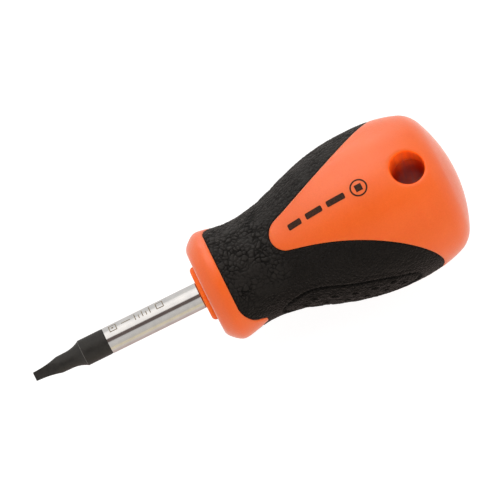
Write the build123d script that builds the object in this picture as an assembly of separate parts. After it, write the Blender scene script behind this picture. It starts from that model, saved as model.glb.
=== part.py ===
"""Stubby square-drive screwdriver with a moulded two-colour handle.

Frame: +X runs along the blade from its tip to the butt, +Z is the way one window
of the handle faces, and the origin is the centre of the blade's end face.
Millimetres.
"""

import os

from build123d import *

# Blade: a 6 mm bar, turned down to a neck with a tapered square nib, and to a tang behind.
SHANK_R = 3.0
NIB_HALF = 1.03
NIB_SHOULDER_HALF = 1.11
NIB_STRAIGHT = 1.4
NIB_RUNOUT_X = 6.3
NIB_RUNOUT_HALF = 2.04
NECK_R = 1.8
NECK_BACK_R = 1.97
NECK_BACK_X = 8.3
SHOULDER_X = 11.7
SHOULDER_CHAMFER = 0.08
TANG_X = 40.6
TANG_R = 2.8
BLADE_END_X = 84.0
BLADE_END_CHAMFER = 0.8
NIB_ROLL = 17.5
WING_XS = (60.0, 74.0)
WING_LENGTH = 7.0
WING_SPAN = 9.4
WING_THICKNESS = 2.4
WING_ROUND = 1.5

# Handle: its outline of revolution, from the nose face to the butt.
BOSS_X = 40.7
BOSS_R = 6.35
BOSS_ROUND = 0.9
NOSE_X = 41.8
NOSE_FACE_R = 9.4
NOSE_POINT = (43.2, 11.65)
CREST = (45.6, 12.88)
WAIST = [(48.4, 12.42), (53.4, 11.86), (61.5, 13.4)]
BELLY = [(70.5, 16.5), (78.6, 18.02), (85.0, 18.34), (91.2, 17.87)]
RIM_START = (96.6, 16.4)
RIM_SLOPE = (0.93, -0.367)
BUTT_X = 102.9
DOME_R = 31.5
DOME_HALF_ANGLE = 24.2

# Soft grip: cut from the outline by the windows above and below, and the nose band in front.
GRIP_DEPTH = 2.0
BAND_X = 46.7
BAND_HALF_WIDTH = 11.9
BAND_CORNER_R = 2.7
BAND_LOBE_X = 51.6
WINDOW_TIP_X = 59.5
WINDOW_FLANK = [(62.25, 3.8), (77.4, 9.72), (93.6, 18.9)]
CUT_REACH = 26.0

# Thumb pads: shallow leaf-shaped recesses in the grip's two sides, with dimples.
PAD_DEPTH = 0.15
PAD_EDGE = [(55.0, 0), (58.3, 4.3), (63.2, 6.75), (70.0, 7.05), (78.4, 5.85), (83.9, 3.6), (86.2, 0)]
DIMPLE_R = 0.65
DIMPLE_DEPTH = 0.35
DIMPLE_PITCH = 4.3
DIMPLE_ROWS = [(0.0, 60.3, 6), (3.0, 62.45, 5), (-3.0, 62.45, 5)]

# Hanging hole through the butt, from window to window.
HOLE_X = 92.95
HOLE_R = 3.75
HOLE_ROUND = 0.85

# Inner core, moulded round the blade, and the plugs that key the grip to the shell.
CORE_STEP_X = 44.5
CORE_NECK_X = 46.5
CORE_NECK_R = 7.4
CORE_FLARE_X = 58.0
CORE_BODY_X = 76.0
CORE_BODY_R = 10.8
CORE_END_X = 98.4
CORE_END_ROUND = 2.5
CORE_MOUTH_R = 3.15
CORE_MOUTH_DEPTH = 0.5
CORE_RING_XS = (48.5, 52.5, 56.5)
CORE_RING_WIDTH = 2.0
CORE_RING_DEPTH = 0.8
FIN_HEIGHT = 1.2
FIN_COVER = 3.0
FIN_WIDTH = 2.0
FIN_START, FIN_END = 66.0, 91.0
PLUG_XS = (66.0, 74.0, 82.0)
PLUG_R = 1.5
PLUG_DEPTH = 1.4


def turned(outline):
    """The solid that a closed outline above the X axis makes when it turns about that axis."""
    return revolve(outline, axis=Axis.X)


def envelope(inset=0.0):
    """The handle's outer shape, or the same shape with its side walls moved in by inset."""
    body = [(x, r - inset) for x, r in [CREST, *WAIST, *BELLY, RIM_START]]
    with BuildSketch() as outline:
        with BuildLine():
            dome = CenterArc((BUTT_X - DOME_R, 0), DOME_R - inset, 0, DOME_HALF_ANGLE)
            side = Spline(*body, tangents=((1, 0), RIM_SLOPE))
            rim = Spline(side @ 1, dome @ 1, tangents=(RIM_SLOPE, -(dome % 1)))
            nose = Spline(
                (NOSE_X, NOSE_FACE_R - inset),
                (NOSE_POINT[0], NOSE_POINT[1] - inset),
                side @ 0,
                tangents=((0, 1), (1, 0)),
            )
            Polyline(nose @ 0, (NOSE_X, 0), dome @ 0)
        make_face()
    return turned(outline.sketch)


def both_ways(sketch, reach):
    """A sketch pushed out to both sides of its plane."""
    return extrude(sketch, amount=reach, both=True)


def grip_region():
    """Everything seen as soft grip when the handle is looked at square to a window."""
    with BuildSketch() as area:
        with BuildLine():
            upper = ThreePointArc(*WINDOW_FLANK)
            lower = ThreePointArc(*[(x, -y) for x, y in WINDOW_FLANK])
            ThreePointArc(upper @ 0, (WINDOW_TIP_X, 0), lower @ 0)
            Polyline(
                upper @ 1,
                (WINDOW_FLANK[2][0], CUT_REACH),
                (BAND_LOBE_X, CUT_REACH),
                (BAND_LOBE_X, BAND_HALF_WIDTH),
            )
            Polyline(
                lower @ 1,
                (WINDOW_FLANK[2][0], -CUT_REACH),
                (BAND_LOBE_X, -CUT_REACH),
                (BAND_LOBE_X, -BAND_HALF_WIDTH),
            )
            FilletPolyline(
                (BAND_LOBE_X, BAND_HALF_WIDTH),
                (BAND_X, BAND_HALF_WIDTH),
                (BAND_X, -BAND_HALF_WIDTH),
                (BAND_LOBE_X, -BAND_HALF_WIDTH),
                radius=BAND_CORNER_R,
            )
        make_face()
    return both_ways(area.sketch, CUT_REACH)


def pad_region():
    """The leaf-shaped outline of a thumb pad, pushed out sideways."""
    with BuildSketch(Plane.XZ) as area:
        with BuildLine():
            upper = Spline(*PAD_EDGE[:6], tangents=((0, 1), (0.9, -0.44)))
            lower = Spline(*[(x, -z) for x, z in PAD_EDGE[:6]], tangents=((0, -1), (0.9, 0.44)))
            ThreePointArc(upper @ 1, PAD_EDGE[6], lower @ 1)
        make_face()
    return both_ways(area.sketch, CUT_REACH)


def side_radius(x):
    """The outline's radius at x, read off the points it is drawn through."""
    points = [CREST, *WAIST, *BELLY, RIM_START]
    for (x0, r0), (x1, r1) in zip(points, points[1:]):
        if x0 <= x <= x1:
            return r0 + (r1 - r0) * (x - x0) / (x1 - x0)
    raise ValueError(f"x {x} is past the side wall")


def dimples(surface):
    """Small balls that bite into the pads' floors to the dimple depth."""
    ball_r = (DIMPLE_R**2 + DIMPLE_DEPTH**2) / (2 * DIMPLE_DEPTH)
    balls = []
    for z, first_x, count in DIMPLE_ROWS:
        for i in range(count):
            x = first_x + i * DIMPLE_PITCH
            for side in (1, -1):
                ray = Axis((x, 0, z), (0, side, 0))
                floor = surface.find_intersection_points(ray)
                y = max(side * point.Y for point, _ in floor) - DIMPLE_DEPTH + ball_r
                balls.append(Pos(x, side * y, z) * Sphere(ball_r))
    return balls


def blade():
    """The steel bar: square nib, neck, shank, and a tang with pressed wings to anchor it."""
    with BuildSketch() as outline:
        with BuildLine():
            neck = Line((0, NECK_R), (NECK_BACK_X, NECK_BACK_R))
            flare = TangentArc(
                neck @ 1, (SHOULDER_X, SHANK_R - SHOULDER_CHAMFER), tangent=neck % 1
            )
            Polyline(
                flare @ 1,
                (SHOULDER_X + SHOULDER_CHAMFER, SHANK_R),
                (TANG_X, SHANK_R),
                (TANG_X, TANG_R),
                (BLADE_END_X - BLADE_END_CHAMFER, TANG_R),
                (BLADE_END_X, TANG_R - BLADE_END_CHAMFER),
                (BLADE_END_X, 0),
                (0, 0),
                neck @ 0,
            )
        make_face()
    bar = turned(outline.sketch)
    with BuildSketch() as flats:
        with BuildLine():
            for side in (1, -1):
                land = Line((0, side * NIB_HALF), (NIB_STRAIGHT, side * NIB_SHOULDER_HALF))
                runout = TangentArc(
                    land @ 1, (NIB_RUNOUT_X, side * NIB_RUNOUT_HALF), tangent=land % 1
                )
                Polyline(
                    runout @ 1,
                    (NIB_RUNOUT_X, side * 2 * SHANK_R),
                    (BLADE_END_X + 1, side * 2 * SHANK_R),
                )
            Line((0, NIB_HALF), (0, -NIB_HALF))
            Line((BLADE_END_X + 1, 2 * SHANK_R), (BLADE_END_X + 1, -2 * SHANK_R))
        make_face()
    milled = both_ways(flats.sketch, 2 * SHANK_R)
    bar = bar & (Rot(X=NIB_ROLL) * milled) & (Rot(X=NIB_ROLL + 90) * milled)
    for i, x in enumerate(WING_XS):
        plate = Box(WING_LENGTH, WING_SPAN, WING_THICKNESS)
        wing = fillet(plate.edges().filter_by(Axis.Z), WING_ROUND)
        bar += Pos(x, 0, 0) * Rot(X=90 * i) * wing
    return bar


def hanging_hole():
    """The hole's own space, from window to window."""
    return Pos(HOLE_X, 0, 0) * Cylinder(HOLE_R, 2 * CUT_REACH)


def hole_mouths(shell):
    """The two closed edges where the hanging hole breaks out of the shell."""
    mouths = []
    for edge in shell.edges():
        box = edge.bounding_box()
        if abs(box.center().X - HOLE_X) < 0.5 and abs(box.center().Z) > CORE_BODY_R + 2:
            if abs(box.size.Y - 2 * HOLE_R) < 0.2:
                mouths.append(edge)
    return mouths


def core_blank():
    """The core before the blade and the hole are taken out: nose boss, neck, body and fins."""
    with BuildSketch() as outline:
        with BuildLine():
            FilletPolyline(
                (BOSS_X, 0), (BOSS_X, BOSS_R), (CORE_STEP_X, BOSS_R), radius=BOSS_ROUND
            )
            Polyline(
                (CORE_STEP_X, BOSS_R),
                (CORE_NECK_X, CORE_NECK_R),
                (CORE_FLARE_X, CORE_NECK_R),
            )
            flare = Spline(
                (CORE_FLARE_X, CORE_NECK_R),
                (CORE_BODY_X, CORE_BODY_R),
                tangents=((1, 0), (1, 0)),
            )
            FilletPolyline(
                flare @ 1,
                (CORE_END_X, CORE_BODY_R),
                (CORE_END_X, 0),
                radius=CORE_END_ROUND,
            )
            Line((CORE_END_X, 0), (BOSS_X, 0))
        make_face()
    body = turned(outline.sketch)
    mouth = Cylinder(CORE_MOUTH_R, 2 * CORE_MOUTH_DEPTH)
    body -= Pos(BOSS_X, 0, 0) * Rot(Y=90) * mouth
    for x in CORE_RING_XS:
        ring = Cylinder(CORE_NECK_R + 1, CORE_RING_WIDTH) - Cylinder(
            CORE_NECK_R - CORE_RING_DEPTH, CORE_RING_WIDTH
        )
        body -= Pos(x, 0, 0) * Rot(Y=90) * ring
    fin = Box(
        FIN_END - FIN_START,
        2 * (CORE_BODY_R + FIN_HEIGHT),
        FIN_WIDTH,
        align=(Align.MIN, Align.CENTER, Align.CENTER),
    )
    for turn in (45, 135):
        body += (Pos(FIN_START, 0, 0) * Rot(X=turn) * fin) & envelope(FIN_COVER)
    return body


def main():
    steel = blade()
    hole = hanging_hole()
    outer = envelope()
    core_solid = core_blank()
    plugs = [
        Pos(x, side * (side_radius(x) - GRIP_DEPTH), 0)
        * Rot(X=90)
        * Cylinder(PLUG_R, 2 * PLUG_DEPTH)
        for x in PLUG_XS
        for side in (1, -1)
    ]
    grip_space = (outer - envelope(GRIP_DEPTH)) & grip_region()
    for plug in plugs:
        grip_space += plug
    shell = outer - core_solid - grip_space - hole
    shell = fillet(hole_mouths(shell), HOLE_ROUND)

    pad_floor = envelope(PAD_DEPTH)
    grip = grip_space - ((outer - pad_floor) & pad_region())
    for ball in dimples(pad_floor):
        grip -= ball

    nodes = {
        "blade": steel,
        "handle_core": core_solid - steel - hole,
        "handle_shell": shell,
        "soft_grip": grip,
    }
    os.makedirs("parts", exist_ok=True)
    for name, shape in nodes.items():
        export_step(shape, f"parts/{name}.step")


main()
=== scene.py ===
"""Looks for the stubby square-drive screwdriver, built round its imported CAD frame.

Lengths in the shape code are millimetres, turned into metres when a mesh is made.
"""

import math

import bpy
import numpy as np
from mathutils import Matrix, Vector, noise


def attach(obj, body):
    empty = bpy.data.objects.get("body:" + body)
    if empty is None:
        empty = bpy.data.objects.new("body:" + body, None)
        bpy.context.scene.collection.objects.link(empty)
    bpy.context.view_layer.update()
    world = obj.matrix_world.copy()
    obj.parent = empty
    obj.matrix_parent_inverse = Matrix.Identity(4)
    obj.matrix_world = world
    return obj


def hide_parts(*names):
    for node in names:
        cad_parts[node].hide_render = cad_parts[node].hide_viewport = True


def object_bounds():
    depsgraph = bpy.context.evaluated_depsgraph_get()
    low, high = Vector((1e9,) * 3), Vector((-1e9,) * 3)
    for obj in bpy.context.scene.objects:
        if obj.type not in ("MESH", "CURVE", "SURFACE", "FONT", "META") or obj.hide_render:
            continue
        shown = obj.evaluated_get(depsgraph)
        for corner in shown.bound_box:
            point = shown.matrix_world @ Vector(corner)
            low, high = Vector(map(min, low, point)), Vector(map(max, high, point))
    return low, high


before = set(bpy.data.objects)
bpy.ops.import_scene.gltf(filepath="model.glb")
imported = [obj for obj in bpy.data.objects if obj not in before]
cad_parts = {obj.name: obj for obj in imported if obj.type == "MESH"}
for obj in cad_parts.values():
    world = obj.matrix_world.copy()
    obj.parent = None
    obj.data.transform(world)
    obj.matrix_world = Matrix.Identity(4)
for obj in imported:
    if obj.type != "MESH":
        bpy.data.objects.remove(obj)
cad_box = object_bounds()

noise.seed_set(5)  # the warp of the crackle's cells is the same in every run

MM = 0.001

# The handle's outline of revolution, from the nose face to the butt.
BOSS_R = 6.35
NOSE_X = 41.8
NOSE_FACE_R = 9.4
NOSE_POINT = (43.2, 11.65)
CREST = (45.6, 12.88)
WAIST = [(48.4, 12.42), (53.4, 11.86), (61.5, 13.4)]
BELLY = [(70.5, 16.5), (78.6, 18.02), (85.0, 18.34), (91.2, 17.87)]
RIM_START = (96.6, 16.4)
RIM_SLOPE = (0.93, -0.367)
BUTT_X = 102.9
DOME_R = 31.5
DOME_HALF_ANGLE = math.radians(24.2)

# The soft grip's outline, seen square to a window, and its relief.
BAND_X = 46.7
BAND_HALF_WIDTH = 11.9
BAND_CORNER_R = 2.7
BAND_LOBE_X = 51.6
WINDOW_TIP = (63.5, 4.0)
WINDOW_FLANK = [(62.25, 3.8), (77.4, 9.72), (93.6, 18.9)]
PAD_SIDE = [(55.0, 0.0), (58.3, 4.3), (63.2, 6.75), (70.0, 7.05), (78.4, 5.85), (83.9, 3.6)]
PAD_END_X = 86.2
PAD_DEPTH = 0.15
DIMPLE_PITCH = 4.3
DIMPLE_ROWS = [(0.0, 60.3, 6), (3.0, 62.45, 5), (-3.0, 62.45, 5)]
DIMPLE_HALF = (0.85, 0.62)
DIMPLE_DEPTH = 0.42
DIMPLE_WALL = (0.35, 0.75)
DIMPLE_RIM, DIMPLE_RIM_HALF = 1.35, 0.35
PAD_INSIDE_WIDTH = 0.35
PAD_EDGE_WIDTH = 0.4
PAD_GROOVE_DEPTH = 0.4
PAD_GROOVE_HALF = 0.45
PAD_LIP_DEPTH = 0.06
PAD_LIP_HALF = 0.5
PAD_LIP_GAP = 1.5
SEAM_WIDTH = 0.4
GRIP_SEAM_DEPTH = 0.22
SHELL_SEAM_DEPTH = 0.14
WALL_DEPTHS = (0.4, 1.2)

# The grip's leathery relief: wide cracks between plates, fine creases on them, and a grain.
CRACK_SIZE, CRACK_WARP, CRACK_WIDTH, CRACK_DEPTH = 1.08, 0.6, 0.25, 0.34
CREASE_SIZE, CREASE_WARP, CREASE_WIDTH, CREASE_DEPTH = 0.75, 0.3, 0.34, 0.13
PLATE_FALL = 0.02
GRAIN_SIZE = 0.4
PATCH_SIZE = 3.1
CREASE_PATCH_SIZE = 2.3
ARM_GRAIN_DEPTH, ARM_CREASE_DEPTH = 0.03, 0.06
PAD_CREASE_DEPTH, PAD_GRAIN_DEPTH, PAD_ROUGH_DEPTH = 0.13, 0.10, 0.05

# Where the crackle shows. A pair is where a change starts and the length that it takes.
CRAZE_NECK_PAD_GAP = (2.4, 2.4)
CRAZE_NECK_END = (57.5, 6.0)
CRAZE_LOW_SIDE = (7.0, 3.5)
CRAZE_LOW_LOSS = 0.6
CRAZE_ARM_OFF_MIDDLE = (2.0, 4.0)
CRAZE_ARM_START = (55.0, 6.0)
CRAZE_ARM_PAD_GAP = (0.8, 1.5)
CRAZE_ARM_SHARES = (0.7, 0.25)

# The meshes' spacing along the outline and their counts of columns round it.
NECK_STEP, ARM_STEP, SHELL_STEP = 0.15, 0.2, 0.3
NECK_MESH_END_X, GRIP_MESH_END_X = 60.0, 92.6
GRIP_COLUMNS, SHELL_COLUMNS, BLADE_COLUMNS = 504, 400, 192

# The hanging hole.
HOLE_X = 92.95
HOLE_R = 3.75
HOLE_ROUND = 1.05
MOUTH_DROP = 0.75
MOUTH_RINGS, SHELL_RINGS, BORE_RINGS = 8, 4, 9
CORE_R = 10.8

# The blade.
SHANK_R = 3.0
NECK_R = 1.8
NECK_BACK = (8.3, 1.97)
SHOULDER = (11.7, 2.92)
SHOULDER_CHAMFER = 0.08
NIB_HALF = 1.03
NIB_SHOULDER = (1.4, 1.11)
NIB_RUNOUT = (6.3, 2.04)
NIB_ROLL = math.radians(17.5)
BLACK_END_X = 17.8
PLATING_EDGE = 0.2
PLATING_SLOPE = 0.5
NIB_POWER = 26
NIB_BLEND = 0.035
SWELL_END_X = 11.6
SWELL_DEPTH = 0.012
TANG_X = 40.6
TANG_R = 2.8
BLADE_END_X = 84.0

# The printed mark on one window, and the etched mark along the shank.
INK_LIFT = 0.018
INK_Y = 0.35
DASHES = ((64.2, 67.4), (68.6, 72.6), (73.8, 78.2))
DASH_HALF, DASH_CORNER = 0.72, 0.3
SYMBOL_X = 81.6
SYMBOL_RADII = (1.62, 1.8, 1.98)
SYMBOL_SQUARE_HALF = 0.8
ETCH_LIFT = 0.012
ETCH_ANGLE = math.radians(90 - 28.4)
ETCH_LINE = 0.2
ETCH_HALF = 0.9
ETCH_SQUARES = ((19.2, 21.0), (30.6, 32.4))
TICK_X, TICK_PITCH, TICK_COUNT = 25.4, 0.9, 5


def smooth(t):
    """0 below 0, 1 above 1, and an S curve between."""
    t = np.clip(t, 0.0, 1.0)
    return t * t * (3 - 2 * t)


def rise(value, start, length):
    """0 up to start, 1 from a length further on, and an S curve between."""
    return smooth((value - start) / length)


def unit(v):
    """The vector v at length 1."""
    v = np.asarray(v, float)
    return v / np.linalg.norm(v)


def spline(points, start, end, count=24):
    """Points along the smooth cubic through points, with the end directions given."""
    p = np.array(points, float)
    h = np.linalg.norm(np.diff(p, axis=0), axis=1)
    n = len(p)
    a, b = np.zeros((n, n)), np.zeros((n, 2))
    a[0, 0] = a[-1, -1] = 1.0
    b[0], b[-1] = unit(start), unit(end)
    for i in range(1, n - 1):
        a[i, i - 1], a[i, i], a[i, i + 1] = h[i], 2 * (h[i - 1] + h[i]), h[i - 1]
        before = h[i] * (p[i] - p[i - 1]) / h[i - 1]
        after = h[i - 1] * (p[i + 1] - p[i]) / h[i]
        b[i] = 3 * (before + after)
    m = np.linalg.solve(a, b)
    out = [p[:1]]
    for i in range(n - 1):
        t = np.linspace(0, 1, count + 1)[1:, None]
        out.append(
            (2 * t**3 - 3 * t**2 + 1) * p[i]
            + (t**3 - 2 * t**2 + t) * h[i] * m[i]
            + (3 * t**2 - 2 * t**3) * p[i + 1]
            + (t**3 - t**2) * h[i] * m[i + 1]
        )
    return np.vstack(out)


def three_point_circle(a, b, c):
    """The centre and radius of the circle through three points."""
    (ax, ay), (bx, by), (cx, cy) = a, b, c
    m = np.array([[bx - ax, by - ay], [cx - ax, cy - ay]]) * 2
    v = [bx**2 + by**2 - ax**2 - ay**2, cx**2 + cy**2 - ax**2 - ay**2]
    centre = np.linalg.solve(m, v)
    return centre, math.hypot(*(centre - np.array(a)))


def outline():
    """The handle's outline as close points (x, r)."""
    face = np.array([(NOSE_X, r) for r in np.linspace(BOSS_R + 0.03, NOSE_FACE_R, 12)])
    nose = spline([(NOSE_X, NOSE_FACE_R), NOSE_POINT, CREST], (0, 1), (1, 0))
    side = spline([CREST, *WAIST, *BELLY, RIM_START], (1, 0), RIM_SLOPE)
    angles = np.linspace(DOME_HALF_ANGLE, 0.0, 60)
    centre_x = BUTT_X - DOME_R
    dome = np.array([(centre_x + DOME_R * math.cos(a), DOME_R * math.sin(a)) for a in angles])
    fall = (math.sin(DOME_HALF_ANGLE), -math.cos(DOME_HALF_ANGLE))
    rim = spline([RIM_START, dome[0]], RIM_SLOPE, fall)
    return np.vstack([face[:-1], nose[:-1], side[:-1], rim[:-1], dome])


OUTLINE = outline()
ARC = np.concatenate([[0.0], np.cumsum(np.linalg.norm(np.diff(OUTLINE, axis=0), axis=1))])


def outline_at(s):
    """x, r and the outward normal's two parts at arc lengths s."""
    x, r = np.interp(s, ARC, OUTLINE[:, 0]), np.interp(s, ARC, OUTLINE[:, 1])
    step = 0.15
    dx = np.interp(s + step, ARC, OUTLINE[:, 0]) - np.interp(s - step, ARC, OUTLINE[:, 0])
    dr = np.interp(s + step, ARC, OUTLINE[:, 1]) - np.interp(s - step, ARC, OUTLINE[:, 1])
    size = np.hypot(dx, dr)
    return x, r, -dr / size, dx / size


def arc_of(x):
    """The arc length at which the side wall passes x."""
    side = (OUTLINE[:, 0] > NOSE_X + 0.01) | (OUTLINE[:, 1] > NOSE_FACE_R)
    return float(np.interp(x, OUTLINE[side, 0], ARC[side]))


def radius_at(x):
    """The outline's radius at x along the side wall."""
    side = OUTLINE[:, 1] >= NOSE_FACE_R
    return np.interp(x, OUTLINE[side, 0], OUTLINE[side, 1])


class Skin:
    """Part of the handle's surface: each point has an arc length s and an angle a about X."""

    def __init__(self, s_rows, columns):
        a = np.linspace(0, 2 * math.pi, columns, endpoint=False)
        self.s = np.repeat(np.asarray(s_rows, float), columns)
        self.a = np.tile(a, len(s_rows))
        self.faces = []
        for i in range(len(s_rows) - 1):
            row = i * columns
            for j in range(columns):
                k = (j + 1) % columns
                self.faces.append((row + j, row + k, row + columns + k, row + columns + j))

    def places(self):
        """Points and outward normals."""
        x, r, nx, nr = outline_at(self.s)
        c, n = np.cos(self.a), np.sin(self.a)
        return np.stack([x, r * c, r * n], 1), np.stack([nx, nr * c, nr * n], 1)

    def _between(self, i, j, t):
        """The place a share t of the way from point i to point j."""
        turn = (self.a[j] - self.a[i] + math.pi) % (2 * math.pi) - math.pi
        return self.s[i] + t * (self.s[j] - self.s[i]), self.a[i] + t * turn

    def split(self, field, level=0.0):
        """Cuts faces so that the line where field is level runs along edges."""
        snap = 0.3
        f = field(*self.places()) - level
        crossing = [q for q in self.faces if min(f[v] for v in q) < 0 < max(f[v] for v in q)]
        moves = {}
        for q in crossing:
            for i, j in zip(q, (*q[1:], q[0])):
                if f[i] * f[j] < 0:
                    t = f[i] / (f[i] - f[j])
                    for v, w, u in ((i, j, t), (j, i, 1 - t)):
                        if u < snap and u < moves.get(v, (1, 0, 0))[0]:
                            moves[v] = (u, v, w)
        for v, (u, i, j) in list(moves.items()):
            moves[v] = self._between(i, j, u)
        for v, (s, a) in moves.items():
            self.s[v], self.a[v], f[v] = s, a, 0.0
        new_s, new_a, made = [], [], {}
        count = len(self.s)
        faces = []
        for q in self.faces:
            values = [f[v] for v in q]
            if not min(values) < 0 < max(values):
                faces.append(q)
                continue
            low, high = [], []
            for i, j in zip(q, (*q[1:], q[0])):
                if f[i] <= 0:
                    low.append(i)
                if f[i] >= 0:
                    high.append(i)
                if f[i] * f[j] < 0:
                    key = (min(i, j), max(i, j))
                    if key not in made:
                        s, a = self._between(i, j, f[i] / (f[i] - f[j]))
                        made[key] = count + len(new_s)
                        new_s.append(s)
                        new_a.append(a)
                    low.append(made[key])
                    high.append(made[key])
            faces += [tuple(p) for p in (low, high) if len(p) > 2]
        self.faces = faces
        self.s = np.concatenate([self.s, new_s])
        self.a = np.concatenate([self.a, new_a])

    def keep(self, field):
        """Drops the faces whose middle has a negative field, and the loose points."""
        points, normals = self.places()
        middles = np.array([points[list(q)].mean(0) for q in self.faces])
        facing = np.array([normals[list(q)].mean(0) for q in self.faces])
        stay = field(middles, facing) > 0
        self.faces = [q for q, ok in zip(self.faces, stay) if ok]
        used = np.unique(np.concatenate([np.array(q) for q in self.faces]))
        index = np.full(len(self.s), -1)
        index[used] = np.arange(len(used))
        self.s, self.a = self.s[used], self.a[used]
        self.faces = [tuple(int(index[v]) for v in q) for q in self.faces]

    def rim_edges(self):
        """Edges that only one face uses, in that face's direction."""
        seen = {}
        for q in self.faces:
            for i, j in zip(q, (*q[1:], q[0])):
                seen[(i, j)] = True
        return [(i, j) for i, j in seen if (j, i) not in seen]


def on_surface(distance_of, plane, points, normals):
    """A plan distance, turned into the distance along the surface. plane names its two axes."""
    least = 0.06
    u, v = points[:, plane[0]], points[:, plane[1]]
    d = distance_of(u, v)
    step = 0.02
    gu = (distance_of(u + step, v) - distance_of(u - step, v)) / (2 * step)
    gv = (distance_of(u, v + step) - distance_of(u, v - step)) / (2 * step)
    tilt = normals[:, plane[0]] * gu + normals[:, plane[1]] * gv
    return d / np.sqrt(np.clip(gu**2 + gv**2 - tilt**2, least, None))


FLANK_CENTRE, FLANK_R = three_point_circle(*WINDOW_FLANK)


def grip_plan(x, y):
    """Distance inside the grip's outline, seen square to a window. Negative on the shell."""
    y = np.abs(y)
    tip = np.hypot(x - WINDOW_TIP[0], y) - WINDOW_TIP[1]
    flank = FLANK_R - np.hypot(x - FLANK_CENTRE[0], y - FLANK_CENTRE[1])
    run = np.array([WINDOW_FLANK[0][1], WINDOW_TIP[0] - WINDOW_FLANK[0][0]]) / WINDOW_TIP[1]
    past = (x - WINDOW_FLANK[0][0]) * run[0] + (y - WINDOW_FLANK[0][1]) * run[1]
    window = np.where(past > 0, flank, tip)
    qx = BAND_X + BAND_CORNER_R - x
    qy = y - (BAND_HALF_WIDTH - BAND_CORNER_R)
    outside = np.hypot(np.maximum(qx, 0), np.maximum(qy, 0)) + np.minimum(np.maximum(qx, qy), 0)
    band = np.maximum(BAND_CORNER_R - outside, x - BAND_LOBE_X)
    return np.minimum(window, band)


def grip_field(points, normals):
    """Distance along the surface inside the grip's outline."""
    return on_surface(grip_plan, (0, 1), points, normals)


def pad_outline():
    """The pad's outline as one side's close points (x, z), from its front to its back."""
    side = spline(PAD_SIDE, (0, 1), (0.9, -0.44), 14)
    x, z = PAD_SIDE[-1]
    r = ((PAD_END_X - x) ** 2 + z**2) / (2 * (PAD_END_X - x))
    angles = np.linspace(math.asin(z / r), 0, 16)
    end = np.stack([PAD_END_X - r + r * np.cos(angles), r * np.sin(angles)], 1)
    return np.vstack([side, end[1:]])


PAD = pad_outline()


def pad_plan(x, z):
    """Distance inside the pad's outline, seen from the side."""
    p = np.stack([x, np.abs(z)], 1)
    best = np.full(len(p), 1e9)
    for a, b in zip(PAD, PAD[1:]):
        d = b - a
        t = np.clip(((p - a) @ d) / (d @ d), 0, 1)
        best = np.minimum(best, np.linalg.norm(p - a - t[:, None] * d, axis=1))
    half = np.interp(x, PAD[:, 0], PAD[:, 1], left=-1.0, right=-1.0)
    return np.where(p[:, 1] < half, best, -best)


def pad_field(points, normals):
    """Distance along the surface inside a pad's outline."""
    return on_surface(pad_plan, (0, 2), points, normals)


def hole_field(points, normals):
    """Distance outside the hanging hole's rounded mouth, seen along the hole."""
    return np.hypot(points[:, 0] - HOLE_X, points[:, 1]) - (HOLE_R + HOLE_ROUND)


def cells(points, size, warp=0.0):
    """Distances, in cells, to the nearest and next nearest centres of random cells of a size."""
    out = np.zeros((len(points), 2))
    for i, p in enumerate(points):
        v = Vector(p)
        if warp:
            v = v + noise.noise_vector(v * (0.6 / size)) * warp
        near = noise.voronoi(v / size)[0]
        out[i] = near[0], near[1]
    return out


def grain(points, size):
    """Smooth noise from -1 to 1 with features of a size."""
    return np.array([noise.noise(Vector(p) / size) for p in points])


def crazing(points, pad):
    """How strongly the crackle shows: full on the neck, weaker on the arms, least towards -Y."""
    x = points[:, 0]
    neck = rise(-pad, *CRAZE_NECK_PAD_GAP) * (1 - rise(x, *CRAZE_NECK_END))
    neck *= 1 - CRAZE_LOW_LOSS * rise(-points[:, 1], *CRAZE_LOW_SIDE)
    off_middle = rise(np.abs(points[:, 2]), *CRAZE_ARM_OFF_MIDDLE)
    arms = off_middle * rise(x, *CRAZE_ARM_START) * rise(-pad, *CRAZE_ARM_PAD_GAP)
    return np.maximum(neck, arms * np.where(points[:, 1] > 0, *CRAZE_ARM_SHARES))


def pad_step(pad):
    """How far the step down into a pad has gone, from 0 outside it to 1 inside."""
    return smooth(pad / PAD_EDGE_WIDTH + 0.25)


def hump(offset, half):
    """A bell curve: 1 where offset is 0, and falling off over half."""
    return np.exp(-((offset / half) ** 2))


def cell_lines(near, width):
    """1 on the lines between random cells, and 0 a width away from them."""
    return 1 - smooth((near[:, 1] - near[:, 0]) / width)


def dimple_relief(points):
    """How deep each point lies in a dimple, and how close it is to a dimple's rim."""
    dimple = np.zeros(len(points))
    rim = np.zeros(len(points))
    for z0, first, count in DIMPLE_ROWS:
        for i in range(count):
            dx = (points[:, 0] - first - i * DIMPLE_PITCH) / DIMPLE_HALF[0]
            dz = (points[:, 2] - z0) / DIMPLE_HALF[1]
            d = np.hypot(dx, dz)
            dimple = np.maximum(dimple, 1 - rise(d, *DIMPLE_WALL))
            rim = np.maximum(rim, hump(d - DIMPLE_RIM, DIMPLE_RIM_HALF))
    return dimple, rim


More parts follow.
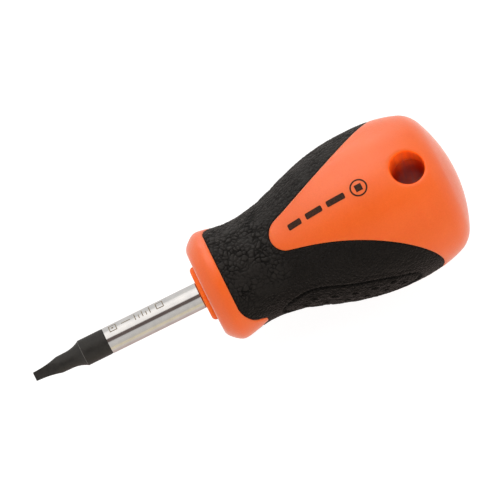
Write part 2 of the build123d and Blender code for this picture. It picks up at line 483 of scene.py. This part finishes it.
def grip_depth(points, normals, edge, pad):
    """How far the grip's surface lies below its smooth outline."""
    inside = smooth(pad / PAD_INSIDE_WIDTH + 0.5)
    crazed = crazing(points, pad)
    broad = cells(points, CRACK_SIZE, CRACK_WARP)
    crack = cell_lines(broad, CRACK_WIDTH)
    crease = cell_lines(cells(points, CREASE_SIZE, CREASE_WARP), CREASE_WIDTH)
    patchy = np.clip(0.75 + 0.7 * grain(points, PATCH_SIZE), 0.3, 1.0)
    fine = 0.5 + 0.5 * grain(points, GRAIN_SIZE)
    some = np.clip(0.4 + 1.2 * grain(points + 40.0, CREASE_PATCH_SIZE), 0.0, 1.0)
    plates = CRACK_DEPTH * crack * patchy + CREASE_DEPTH * crease * some
    depth = crazed * (plates + PLATE_FALL * broad[:, 0])
    depth += (1 - crazed) * (1 - inside) * (ARM_GRAIN_DEPTH * fine + ARM_CREASE_DEPTH * crease)
    depth += GRIP_SEAM_DEPTH * (1 - smooth(edge / SEAM_WIDTH))
    depth += PAD_DEPTH * pad_step(pad)
    groove = PAD_GROOVE_DEPTH * hump(pad - PAD_GROOVE_HALF, PAD_GROOVE_HALF)
    depth += groove + PAD_LIP_DEPTH * hump(pad + PAD_LIP_GAP, PAD_LIP_HALF)
    dimple, rim = dimple_relief(points)
    rough = inside * (PAD_CREASE_DEPTH * crease + PAD_GRAIN_DEPTH * fine + PAD_ROUGH_DEPTH)
    return depth + rough * (1 - dimple) * (1 - rim) + DIMPLE_DEPTH * dimple * inside


def mesh_object(name, points, faces, materials, face_slots=None):
    """A mesh object from points in millimetres."""
    mesh = bpy.data.meshes.new(name)
    mesh.from_pydata((np.asarray(points) * MM).tolist(), [], [list(map(int, q)) for q in faces])
    for material in materials:
        mesh.materials.append(material)
    mesh.polygons.foreach_set("use_smooth", [True] * len(mesh.polygons))
    if face_slots is not None:
        mesh.polygons.foreach_set("material_index", list(map(int, face_slots)))
    mesh.validate()
    mesh.update()
    made = bpy.data.objects.new(name, mesh)
    bpy.context.scene.collection.objects.link(made)
    return made


def add_walls(points, normals, faces, edges, depths):
    """Adds walls below rim edges, one strip per depth in depths."""
    points = list(points)
    rims = sorted({v for e in edges for v in e})
    above = {v: v for v in rims}
    for depth in depths:
        below = {}
        for v in rims:
            below[v] = len(points)
            points.append(points[v] - normals[v] * depth)
        for i, j in edges:
            faces.append((above[j], above[i], below[i], below[j]))
        above = below
    return np.array(points), faces


def grip_piece(material):
    """The soft grip's visible skin, with its relief, and two attributes for its material: hollow, by
    which it paints shade into the recesses, and crazed, by which it paints paler plates that are
    partly sheen.
    """
    neck = np.arange(arc_of(BAND_X - 0.5), arc_of(NECK_MESH_END_X), NECK_STEP)
    arms = np.arange(neck[-1] + ARM_STEP, arc_of(GRIP_MESH_END_X), ARM_STEP)
    skin = Skin(np.concatenate([neck, arms]), GRIP_COLUMNS)
    skin.split(grip_field)
    skin.keep(grip_field)
    for level in (0.15, 0.4):
        skin.split(grip_field, level)
    for level in (-0.1, 0.3):
        skin.split(pad_field, level)
    points, normals = skin.places()
    edge, pad = grip_field(points, normals), pad_field(points, normals)
    depth = grip_depth(points, normals, edge, pad)
    carved = points - normals * depth[:, None]
    carved, faces = add_walls(carved, normals, skin.faces, skin.rim_edges(), WALL_DEPTHS)
    made = mesh_object("soft_grip_skin", carved, faces, [material])
    # The recess depth without the pad's step: the material paints shade by it in the cracks, creases,
    # seams, pad groove and dimples.
    hollow = depth - PAD_DEPTH * pad_step(pad)
    for name, values in (("hollow", hollow), ("crazed", crazing(points, pad))):
        layer = made.data.attributes.new(name, "FLOAT", "POINT")
        padded = np.zeros(len(carved), np.float32)
        padded[: len(values)] = values
        layer.data.foreach_set("value", padded)
    return made


def shell_field(points, normals):
    """Distance along the surface outside the grip's outline."""
    return -grip_field(points, normals)


def shell_piece(material, lining):
    """The shell's visible skin, with its hanging hole lined in the lining's material."""
    last = ARC[-1]
    closing = [last - 0.7, last - 0.35, last - 0.1]
    rows = np.concatenate([np.arange(0, last - 1.0, SHELL_STEP), closing])
    skin = Skin(rows, SHELL_COLUMNS)
    skin.split(shell_field)
    skin.keep(shell_field)
    skin.split(hole_field)
    skin.keep(hole_field)
    for level in (0.12, 0.35):
        skin.split(shell_field, level)
    skin.split(hole_field, 0.4)
    points, normals = skin.places()
    edge = shell_field(points, normals)
    depth = SHELL_SEAM_DEPTH * (1 - smooth(edge / SEAM_WIDTH))
    carved = points - normals * depth[:, None]
    faces = list(skin.faces)
    mouth, grip_rim, ends = [], [], []
    for i, j in skin.rim_edges():
        if abs(hole_field(points[[i]], normals[[i]])[0]) < 0.01:
            mouth.append((i, j))
        elif points[i, 0] > BUTT_X - 1.0:
            ends.append((i, j))
        elif points[i, 0] > NOSE_X + 0.1:
            grip_rim.append((i, j))
    carved, faces = add_walls(carved, normals, faces, grip_rim, WALL_DEPTHS)
    points = list(carved)
    centre = len(points)
    points.append(np.array([BUTT_X, 0, 0]))
    for i, j in ends:
        faces.append((j, i, centre))
    outer = len(faces) + SHELL_RINGS * len(mouth)
    bore_rings(points, faces, mouth)
    slots = [0] * outer + [1] * (len(faces) - outer)
    return mesh_object("handle_shell_skin", np.array(points), faces, [material, lining], slots)


def bore_rings(points, faces, mouth):
    """Rounds the hole's mouths and lines it down to the core."""
    rims = sorted({v for e in mouth for v in e})
    above = {v: v for v in rims}
    start = {v: np.array(points[v]) for v in rims}
    out, side, floor, lip = {}, {}, {}, {}
    for v, p in start.items():
        side[v] = math.copysign(1, p[2])
        out[v] = unit([p[0] - HOLE_X, p[1]])
        x, y = HOLE_X + HOLE_R * out[v][0], HOLE_R * out[v][1]
        lip[v] = math.sqrt(radius_at(x) ** 2 - y**2)
        floor[v] = math.sqrt(CORE_R**2 - y**2)

    def ring(place):
        nonlocal above
        below = {}
        for v in rims:
            r, z = place(v)
            below[v] = len(points)
            points.append(np.array([HOLE_X + r * out[v][0], r * out[v][1], side[v] * z]))
        for i, j in mouth:
            faces.append((above[j], above[i], below[i], below[j]))
        above = below

    for t in np.linspace(0, 1, MOUTH_RINGS + 1)[1:]:
        away = (1 - t) ** 2
        ring(
            lambda v: (
                away * (HOLE_R + HOLE_ROUND) + (1 - away) * HOLE_R,
                away * abs(start[v][2]) + 2 * t * (1 - t) * lip[v] + t**2 * (lip[v] - MOUTH_DROP),
            )
        )
    for t in np.linspace(0, 1, BORE_RINGS + 1)[1:]:
        ring(lambda v: (HOLE_R, (1 - t) * (lip[v] - MOUTH_DROP) + t * (floor[v] + 0.25)))
    for spread, rise in ((0.12, 0.06), (0.5, 0.02)):
        ring(lambda v: (HOLE_R + spread, floor[v] + rise))


def arc_height(start, end, slope, x):
    """Height at x of the circular arc from start to end that leaves start with a slope."""
    n = unit([-slope, 1.0])
    d = np.array(end) - np.array(start)
    r = (d @ d) / (2 * (d @ n))
    centre = np.array(start) + n * r
    return centre[1] - np.sign(r) * np.sqrt(np.clip(r**2 - (x - centre[0]) ** 2, 0, None))


def blade_radius(x, a):
    """The blade's radius at x and at an angle a about X."""
    slope = (NECK_BACK[1] - NECK_R) / NECK_BACK[0]
    if x <= NECK_BACK[0]:
        r = NECK_R + slope * x
    elif x <= SHOULDER[0]:
        r = arc_height(NECK_BACK, SHOULDER, slope, x)
    elif x < TANG_X:
        r = min(SHANK_R, SHOULDER[1] + (x - SHOULDER[0]))
        plated = np.clip(BLACK_END_X + PLATING_EDGE - x, 0, PLATING_EDGE)
        r -= PLATING_SLOPE * plated * (x > BLACK_END_X)
    else:
        r = TANG_R
    if x >= NIB_RUNOUT[0]:
        return np.full(len(a), r)
    slope = (NIB_SHOULDER[1] - NIB_HALF) / NIB_SHOULDER[0]
    if x <= NIB_SHOULDER[0]:
        half = NIB_HALF + slope * x
    else:
        half = arc_height(NIB_SHOULDER, NIB_RUNOUT, slope, x)
    c, s = np.abs(np.cos(a - NIB_ROLL)), np.abs(np.sin(a - NIB_ROLL))
    flat = half / (c**NIB_POWER + s**NIB_POWER) ** (1 / NIB_POWER)
    gap = (r - flat) / NIB_BLEND
    return np.minimum(r, flat) - NIB_BLEND * np.log1p(np.exp(-np.abs(gap)))


def swelling(x, angles):
    """The slight unevenness of the blackened end at x, from -1 to 1 at each angle."""
    places = [(x * 0.8, math.cos(t) * 1.3, math.sin(t) * 1.3) for t in angles]
    return np.array([noise.noise(Vector(place)) for place in places])


def blade_piece(black, chrome, paler_edge):
    """The bar, turned from close rings: blackened in front, plated behind, with a paler ring on the
    shoulder's edge that is a painted highlight.
    """
    shoulder_x = SHOULDER[0]
    xs = np.concatenate(
        [
            np.arange(0.1, 8.2, 0.15),
            np.arange(NECK_BACK[0], shoulder_x, 0.12),
            [shoulder_x, shoulder_x + 0.04, shoulder_x + SHOULDER_CHAMFER, shoulder_x + 0.14],
            np.arange(12.2, BLACK_END_X, 0.4),
            [BLACK_END_X - 0.02, BLACK_END_X + 0.02, BLACK_END_X + PLATING_EDGE],
            np.arange(18.2, TANG_X - 0.1, 0.6),
            [TANG_X - 0.02, TANG_X + 0.02],
            [50.0, 60.0, 70.0, BLADE_END_X],
        ]
    )
    columns = BLADE_COLUMNS
    angles = np.linspace(0, 2 * math.pi, columns, endpoint=False)

    def ring(x, r):
        return np.stack([np.full(columns, x), r * np.cos(angles), r * np.sin(angles)], 1)

    end = blade_radius(0.0, angles)
    rings = [ring(x, end * shrink) for shrink, x in ((0.55, 0.0), (0.92, 0.0), (0.975, 0.025))]
    for x in xs:
        r = blade_radius(x, angles)
        if x < SWELL_END_X:
            r = r - SWELL_DEPTH * (swelling(x, angles) + 1)
        rings.append(ring(x, r))
    points = [np.array([0.0, 0, 0]), *np.vstack(rings), np.array([BLADE_END_X, 0, 0])]
    faces, slots = [], []
    for j in range(columns):
        faces.append((0, 1 + j, 1 + (j + 1) % columns))
        slots.append(0)
    for i in range(len(rings) - 1):
        x = rings[i][0, 0]
        at_shoulder = abs(x - shoulder_x - 0.02) < 0.04
        # The thin ring at the shoulder's edge takes the paler material, a painted highlight.
        slot = 2 if at_shoulder else 0 if x < BLACK_END_X else 1
        for j in range(columns):
            k = (j + 1) % columns
            row = 1 + i * columns
            faces.append((row + j, row + columns + j, row + columns + k, row + k))
            slots.append(slot)
    row = 1 + (len(rings) - 1) * columns
    for j in range(columns):
        faces.append((len(points) - 1, row + (j + 1) % columns, row + j))
        slots.append(1)
    faces = [q[::-1] for q in faces]
    return mesh_object("blade_bar", np.array(points), faces, [black, chrome, paler_edge], slots)


def patch(points, faces, place, us, vs, wrap=False):
    """Adds a grid of faces whose corners are place(u, v)."""
    base = len(points)
    for u in us:
        for v in vs:
            points.append(place(u, v))
    n = len(vs)
    for i in range(len(us) - (0 if wrap else 1)):
        k = (i + 1) % len(us)
        for j in range(n - 1):
            here, there = base + i * n + j, base + k * n + j
            faces.append((here, there, there + 1, here + 1))


def on_window(x, y):
    """The point just above the window's surface at x and y."""
    r = float(radius_at(x)) + INK_LIFT
    return np.array([x, y, math.sqrt(r * r - y * y)])


def ink_piece(material):
    """The printed mark on one window: three dashes and a square-in-ring drive symbol."""
    points, faces = [], []
    for x0, x1 in DASHES:

        def dash(u, v):
            x = x0 + u * (x1 - x0)
            inset = DASH_CORNER - min(DASH_CORNER, x - x0, x1 - x)
            h = DASH_HALF - DASH_CORNER + math.sqrt(DASH_CORNER**2 - inset**2)
            return on_window(x, INK_Y + v * h)

        patch(points, faces, dash, np.linspace(0, 1, 40), np.linspace(-1, 1, 7))

    def ring(u, v):
        return on_window(SYMBOL_X + v * math.cos(u), INK_Y + v * math.sin(u))

    def square(u, v):
        return on_window(SYMBOL_X + u, INK_Y + v)

    turns = np.linspace(0, 2 * math.pi, 72, endpoint=False)
    patch(points, faces, ring, turns, SYMBOL_RADII, wrap=True)
    span = np.linspace(-SYMBOL_SQUARE_HALF, SYMBOL_SQUARE_HALF, 9)
    patch(points, faces, square, span, span)
    return mesh_object("printed_mark", points, faces, [material])


def etch_piece(material):
    """The etched mark along the shank: a square outline, a dash and ruled ticks."""
    points, faces = [], []
    r = SHANK_R + ETCH_LIFT
    line, half = ETCH_LINE, ETCH_HALF

    def wrapped(x, h):
        a = ETCH_ANGLE - h / SHANK_R
        return np.array([x, r * math.cos(a), r * math.sin(a)])

    def bar(x0, x1, h0, h1):
        us = np.linspace(x0, x1, max(2, int((x1 - x0) / 0.3) + 1))
        vs = np.linspace(h0, h1, max(2, int((h1 - h0) / 0.15) + 1))
        patch(points, faces, wrapped, us, vs)

    for x0, x1 in ETCH_SQUARES:
        bar(x0, x1, half - line, half)
        bar(x0, x1, -half, -half + line)
        bar(x0, x0 + line, -half + line, half - line)
        bar(x1 - line, x1, -half + line, half - line)
    bar(19.85, 20.25, -0.2, 0.2)
    bar(22.2, 24.4, -line / 2, line / 2)
    for i in range(TICK_COUNT):
        x = TICK_X + TICK_PITCH * i
        bar(x, x + line, -half, half if i % 2 == 0 else 0.1)
    return mesh_object("etched_mark", points, faces, [material])


class Nodes:
    """A short way to write a node material."""

    def __init__(self, name, world=False):
        if world:
            self.owner = bpy.data.worlds.new(name)
        else:
            self.owner = bpy.data.materials.new(name)
        self.owner.use_nodes = True
        self.tree = self.owner.node_tree
        self.tree.nodes.clear()

    def add(self, kind, inputs=None, **settings):
        """A new node. Each input is a value or a socket to link."""
        node = self.tree.nodes.new(kind)
        for key, value in settings.items():
            setattr(node, key, value)
        for key, value in (inputs or {}).items():
            if isinstance(value, bpy.types.NodeSocket):
                self.tree.links.new(value, node.inputs[key])
            else:
                node.inputs[key].default_value = value
        return node

    def place(self, scale=(1.0, 1.0, 1.0)):
        """Object coordinates in millimetres, stretched by scale."""
        coords = self.add("ShaderNodeTexCoord")
        size = [s / MM for s in scale]
        inputs = {"Vector": coords.outputs["Object"], "Scale": size}
        return self.add("ShaderNodeMapping", inputs).outputs[0]

    def noise(self, vector, scale, detail=2.0, roughness=0.5):
        """Smooth noise from 0 to 1."""
        made = self.add(
            "ShaderNodeTexNoise",
            {"Vector": vector, "Scale": scale, "Detail": detail, "Roughness": roughness},
        )
        return made.outputs["Fac"]

    def math(self, operation, a, b=0.0, c=0.0, clamp=False):
        """One arithmetic step."""
        return self.add(
            "ShaderNodeMath", {0: a, 1: b, 2: c}, operation=operation, use_clamp=clamp
        ).outputs[0]

    def fit(self, value, low, high, to_low=0.0, to_high=1.0):
        """A value moved from one range to another, and held inside it."""
        return self.add(
            "ShaderNodeMapRange",
            {"Value": value, "From Min": low, "From Max": high, "To Min": to_low, "To Max": to_high},
        ).outputs["Result"]

    def shares(self, a, b, share):
        """A share of a added to the rest of b."""
        return self.math("ADD", self.math("MULTIPLY", a, share), self.math("MULTIPLY", b, 1 - share))

    def ramp(self, value, stops):
        """A colour ramp with (position, colour) stops."""
        node = self.add("ShaderNodeValToRGB", {"Fac": value})
        elements = node.color_ramp.elements
        elements.remove(elements[1])
        elements[0].position, elements[0].color = stops[0][0], (*stops[0][1], 1.0)
        for position, colour in stops[1:]:
            elements.new(position).color = (*colour, 1.0)
        return node.outputs["Color"]

    def mix(self, factor, a, b):
        """Colour a where factor is 0, and b where it is 1."""
        node = self.add("ShaderNodeMix", data_type="RGBA")
        for socket, value in ((node.inputs[0], factor), (node.inputs[6], a), (node.inputs[7], b)):
            if isinstance(value, bpy.types.NodeSocket):
                self.tree.links.new(value, socket)
            else:
                socket.default_value = value if isinstance(value, float) else (*value, 1.0)
        return node.outputs[2]

    def bump(self, height, distance, strength=1.0, normal=None):
        """A normal that makes height look like relief of a distance in metres."""
        inputs = {"Height": height, "Distance": distance, "Strength": strength}
        if normal is not None:
            inputs["Normal"] = normal
        return self.add("ShaderNodeBump", inputs).outputs[0]

    def finish(self, **inputs):
        """The material, with one Principled shader."""
        shader = self.add("ShaderNodeBsdfPrincipled", inputs)
        self.add("ShaderNodeOutputMaterial", {"Surface": shader.outputs[0]})
        return self.owner


def orange_plastic(name, deep, light, roughness):
    """Satin moulded plastic with a fine spark-eroded texture."""
    n = Nodes(name)
    p = n.place()
    broad = n.noise(p, 0.09, 3.0)
    speck = n.noise(p, 2.6, 3.0, 0.6)
    cloud = n.fit(n.shares(broad, speck, 0.5), 0.35, 0.65)
    colour = n.mix(cloud, deep, light)
    rough = n.fit(n.noise(p, 1.3, 4.0), 0.3, 0.7, roughness - 0.05, roughness + 0.06)
    texture = n.bump(n.noise(p, 3.2, 3.0, 0.6), 0.00006, 0.6)
    return n.finish(
        **{
            "Base Color": colour,
            "Roughness": rough,
            "Normal": texture,
            "IOR": 1.5,
            "Subsurface Weight": 0.4,
            "Subsurface Radius": (1.0, 0.35, 0.12),
            "Subsurface Scale": 0.0018,
            "Sheen Weight": 0.4,
            "Sheen Roughness": 0.35,
        }
    )


def black_rubber(name):
    """Matt soft plastic: paler plates where the mesh is marked crazed, partly painted sheen, painted
    shade in the hollows, a fine grain.
    """
    n = Nodes(name)
    p = n.place()
    cloud = n.noise(p, 0.35, 4.0)
    fleck = n.noise(p, 2.1, 3.0, 0.65)
    tone = n.fit(n.shares(cloud, fleck, 0.4), 0.35, 0.65)
    colour = n.mix(tone, (0.0014, 0.0007, 0.0003), (0.005, 0.003, 0.0018))
    hollow = n.add("ShaderNodeAttribute", attribute_name="hollow").outputs["Fac"]
    crazed = n.add("ShaderNodeAttribute", attribute_name="crazed").outputs["Fac"]
    # Paler plates where the mesh is marked crazed: partly the plates' own tone, partly painted sheen
    # moved from the specular into the colour, so the +Y side, crazed more, comes out lighter.
    colour = n.mix(crazed, colour, n.mix(tone, (0.0105, 0.009, 0.008), (0.021, 0.018, 0.016)))
    # Painted shade: the colour darkens towards black where the hollow attribute is deep.
    shade = n.fit(hollow, 0.08, 0.3, 0.0, 0.8)
    colour = n.mix(shade, colour, (0.0012, 0.0008, 0.0004))
    rough = n.fit(n.math("ADD", fleck, n.math("MULTIPLY", shade, 0.4)), 0.3, 0.9, 0.46, 0.75)
    pebble = n.add(
        "ShaderNodeTexVoronoi", {"Vector": p, "Scale": 1.9}, feature="SMOOTH_F1"
    ).outputs["Distance"]
    calm = n.fit(crazed, 0.0, 1.0, 1.0, 0.3)
    first = n.bump(n.fit(pebble, 0.0, 0.7, 1.0, 0.0), 0.0003, calm)
    second = n.bump(fleck, 0.00035, calm, first)
    return n.finish(
        **{
            "Base Color": colour,
            "Roughness": rough,
            "Normal": second,
            "Specular IOR Level": 0.16,
            "Sheen Weight": 0.1,
            "Sheen Roughness": 0.25,
            "Sheen Tint": (1.0, 0.84, 0.78, 1.0),
        }
    )


def bright_chrome(name):
    """Plated steel with faint grinding lines round the bar."""
    n = Nodes(name)
    p = n.place((1.0, 0.06, 0.06))
    lines = n.noise(p, 5.0, 3.0, 0.7)
    q = n.place()
    haze = n.noise(q, 0.5, 3.0)
    colour = n.mix(n.fit(haze, 0.35, 0.65), (0.66, 0.66, 0.665), (0.74, 0.735, 0.73))
    rough = n.fit(n.shares(lines, haze, 0.6), 0.3, 0.7, 0.07, 0.16)
    normal = n.bump(lines, 0.00001, 0.25)
    return n.finish(**{"Base Color": colour, "Metallic": 1.0, "Roughness": rough, "Normal": normal})


def black_oxide(name):
    """Chemically blackened steel, browner and brighter on its worn edges."""
    n = Nodes(name)
    p = n.place()
    cloud = n.noise(p, 0.8, 5.0, 0.6)
    fleck = n.noise(p, 5.0, 3.0, 0.6)
    tone = n.fit(n.shares(cloud, fleck, 0.6), 0.35, 0.65)
    colour = n.mix(tone, (0.012, 0.011, 0.0098), (0.03, 0.0277, 0.0242))
    paler_edge = n.add("ShaderNodeNewGeometry").outputs["Pointiness"]
    worn = n.math("MULTIPLY", n.fit(paler_edge, 0.52, 0.58), n.fit(cloud, 0.4, 0.6), clamp=True)
    colour = n.mix(worn, colour, (0.16, 0.145, 0.125))
    rough = n.fit(cloud, 0.3, 0.7, 0.46, 0.6)
    normal = n.bump(n.noise(n.place((1.0, 0.25, 0.25)), 4.0, 3.0), 0.00002, 0.5)
    return n.finish(**{"Base Color": colour, "Metallic": 0.2, "Roughness": rough, "Normal": normal})


def flat_mark(name, dark, light, roughness, metallic):
    """A thin printed or etched coat with slightly broken cover, also used for the painted highlight
    on the shoulder's edge.
    """
    n = Nodes(name)
    p = n.place()
    cover = n.fit(n.noise(p, 2.2, 4.0, 0.6), 0.38, 0.62)
    colour = n.mix(cover, dark, light)
    rough = n.fit(cover, 0.0, 1.0, roughness - 0.05, roughness + 0.1)
    normal = n.bump(n.noise(p, 5.0, 3.0), 0.00002, 0.4)
    return n.finish(
        **{
            "Base Color": colour,
            "Metallic": metallic,
            "Roughness": rough,
            "Normal": normal,
            "Specular IOR Level": 0.15,
        }
    )


def core_plastic(name):
    """The core's orange: like the shell's at the nose; in the bore a deeper red that is painted
    shade, with streaks along it that are dragged relief and, in their paler colour, painted
    reflections.
    """
    n = Nodes(name)
    p = n.place()
    cloud = n.noise(p, 0.2, 3.0)
    fleck = n.noise(p, 1.6, 3.0, 0.6)
    # Streaks along the bore: relief and roughness from dragging, and in the colour painted
    # reflections.
    drag_and_glint = n.noise(n.place((1.0, 1.0, 0.04)), 1.6, 3.0, 0.6)
    along = n.add("ShaderNodeSeparateXYZ", {"Vector": p}).outputs["X"]
    inner = n.fit(along, 80.0, 84.0)
    drag_and_glint = n.math("MULTIPLY_ADD", n.math("SUBTRACT", drag_and_glint, fleck), inner, fleck)
    tone = n.fit(n.shares(cloud, drag_and_glint, 0.4), 0.35, 0.65)
    nose = n.mix(tone, (0.68, 0.1, 0.006), (0.77, 0.125, 0.012))
    # Painted shade and reflection: the bore's colour runs deeper red in its dark streaks and paler in
    # its light ones.
    bore = n.mix(tone, (0.68, 0.07, 0.004), (0.92, 0.125, 0.01))
    colour = n.mix(inner, nose, bore)
    rough = n.fit(drag_and_glint, 0.3, 0.7, 0.45, 0.6)
    normal = n.bump(drag_and_glint, 0.00008, 0.7)
    return n.finish(
        **{
            "Base Color": colour,
            "Roughness": rough,
            "Normal": normal,
            "Specular IOR Level": 0.15,
            "Subsurface Weight": 0.5,
            "Subsurface Radius": (1.0, 0.35, 0.12),
            "Subsurface Scale": 0.002,
        }
    )


def pale_floor(name):
    """A white floor that glows slightly, so that it stays even."""
    n = Nodes(name)
    p = n.place()
    tone = n.mix(n.fit(n.noise(p, 0.02, 2.0), 0.3, 0.7), (0.29, 0.29, 0.29), (0.31, 0.31, 0.31))
    return n.finish(
        **{
            "Base Color": tone,
            "Roughness": 0.9,
            "Specular IOR Level": 0.1,
            "Emission Color": (1.0, 1.0, 1.0, 1.0),
            "Emission Strength": 0.9,
        }
    )


def studio_world():
    """A soft studio: a big bright bank on the +Y side, a dark gap overhead, pale walls."""
    n = Nodes("studio", world=True)
    direction = n.add("ShaderNodeTexCoord").outputs["Generated"]
    parts = n.add("ShaderNodeSeparateXYZ", {"Vector": direction})
    along, across, up = parts.outputs
    lean = n.math("ARCTAN2", across, up)
    turn = n.fit(lean, -math.pi, math.pi)
    around = [
        (-180, (0.60, 0.47, 0.45)),
        (-142, (0.64, 0.52, 0.48)),
        (-125, (0.74, 0.65, 0.60)),
        (-111, (0.80, 0.72, 0.64)),
        (-104, (0.83, 0.73, 0.54)),
        (-88, (0.83, 0.73, 0.54)),
        (-80, (0.66, 0.62, 0.57)),
        (-52, (0.72, 0.69, 0.66)),
        (-35, (0.70, 0.68, 0.65)),
        (-28, (0.15, 0.115, 0.105)),
        (-4, (0.15, 0.115, 0.105)),
        (3, (1.16, 1.11, 1.06)),
        (40, (1.32, 1.27, 1.22)),
        (60, (1.16, 1.12, 1.08)),
        (72, (0.80, 0.78, 0.75)),
        (126, (0.78, 0.76, 0.74)),
        (180, (0.60, 0.47, 0.45)),
    ]
    stops = [((degrees + 180) / 360, colour) for degrees, colour in around]
    bands = n.ramp(turn, stops)
    ends = n.fit(n.math("ABSOLUTE", along), 0.55, 0.85)
    colour = n.mix(ends, bands, (0.9, 0.88, 0.86))
    background = n.add("ShaderNodeBackground", {"Color": colour, "Strength": 1.0})
    n.add("ShaderNodeOutputWorld", {"Surface": background.outputs[0]})
    bpy.context.scene.world = n.owner


def area_light(name, place, target, size, power, receivers=None, glossy=False):
    """A soft bank aimed at target. It lights only the receivers, where they are given."""
    light = bpy.data.lights.new(name, "AREA")
    light.shape = "RECTANGLE"
    light.size, light.size_y = size
    light.energy = power
    made = bpy.data.objects.new(name, light)
    bpy.context.scene.collection.objects.link(made)
    made.location = place
    made.rotation_mode = "QUATERNION"
    made.rotation_quaternion = (Vector(target) - Vector(place)).to_track_quat("-Z", "Y")
    made.visible_glossy = glossy
    made.light_linking.receiver_collection = receivers


ELEVATION = math.radians(72.4)
IMAGE_ROLL = math.radians(26.24)
CAMERA_DISTANCE = 0.9
VIEW_WIDTH = 0.1099
AIM = (0.0547, 0.00411)


def make_camera():
    """A long lens over the handle, rolled so that the blade points down and to the left."""
    right = Vector((1, 0, 0))
    up = Vector((0, math.sin(ELEVATION), math.cos(ELEVATION)))
    back = Vector((0, -math.cos(ELEVATION), math.sin(ELEVATION)))
    c, s = math.cos(IMAGE_ROLL), math.sin(IMAGE_ROLL)
    x_axis, y_axis = right * c - up * s, right * s + up * c
    data = bpy.data.cameras.new("camera")
    data.sensor_width = 36.0
    data.lens = data.sensor_width * CAMERA_DISTANCE / VIEW_WIDTH
    data.clip_start, data.clip_end = 0.01, 20.0
    camera = bpy.data.objects.new("camera", data)
    bpy.context.scene.collection.objects.link(camera)
    place = right * AIM[0] + up * AIM[1] + back * CAMERA_DISTANCE
    rows = [[x_axis[i], y_axis[i], back[i], place[i]] for i in range(3)]
    camera.matrix_world = Matrix([*rows, [0, 0, 0, 1]])
    bpy.context.scene.camera = camera


make_camera()

orange = orange_plastic("shell_orange", (0.595, 0.082, 0.002), (0.66, 0.1, 0.007), 0.4)
core_orange = core_plastic("core_orange")
rubber = black_rubber("grip_rubber")
chrome = bright_chrome("shank_chrome")
oxide = black_oxide("nib_black_oxide")
ink = flat_mark("mark_ink", (0.012, 0.006, 0.003), (0.04, 0.014, 0.007), 0.6, 0.0)
etch = flat_mark("mark_etch", (0.19, 0.155, 0.11), (0.34, 0.29, 0.22), 0.6, 0.1)
# A paler ring on the shoulder's edge: a painted highlight, the light line that edge catches.
paler_edge = flat_mark("shoulder_painted_highlight", (0.09, 0.085, 0.08), (0.2, 0.19, 0.18), 0.4, 0.3)

grip = grip_piece(rubber)
shell = shell_piece(orange, core_orange)
blade = blade_piece(oxide, chrome, paler_edge)
printed = ink_piece(ink)
etched = etch_piece(etch)

for piece, node in ((grip, "soft_grip"), (shell, "handle_shell"), (blade, "blade")):
    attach(piece, "root")
    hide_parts(node)
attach(printed, "root")
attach(etched, "root")

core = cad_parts["handle_core"]
core.data.materials.clear()
core.data.materials.append(core_orange)

FLOOR_HALF = 1500
FLOOR_GAP = 0.0001
floor_z = (cad_box[0][2] - FLOOR_GAP) / MM
corners = [(x * FLOOR_HALF, y * FLOOR_HALF, floor_z) for x, y in ((-1, -1), (1, -1), (1, 1), (-1, 1))]
floor = mesh_object("floor", corners, [(0, 1, 2, 3)], [pale_floor("floor_white")])
floor.visible_glossy = False

studio_world()
handle_parts = bpy.data.collections.new("handle_parts")
orange_parts = bpy.data.collections.new("orange_parts")
for piece in (shell, core, printed):
    handle_parts.objects.link(piece)
    orange_parts.objects.link(piece)
handle_parts.objects.link(grip)
handle_middle = (0.06, 0.0, 0.0)
area_light("butt_bank", (0.75, 0.05, 0.35), handle_middle, (0.4, 0.4), 0.9)
area_light("fill_bank", (0.1, -0.6, 0.6), handle_middle, (0.7, 0.5), 4.6, orange_parts)
area_light("key_bank", (0.0, 0.55, 0.55), handle_middle, (0.7, 0.4), 2.0, handle_parts, glossy=True)
area_light("veil_bank", (0.06, 0.7, 0.08), handle_middle, (0.6, 0.3), 1.5, handle_parts, glossy=True)

bpy.context.scene.view_settings.view_transform = "Standard"
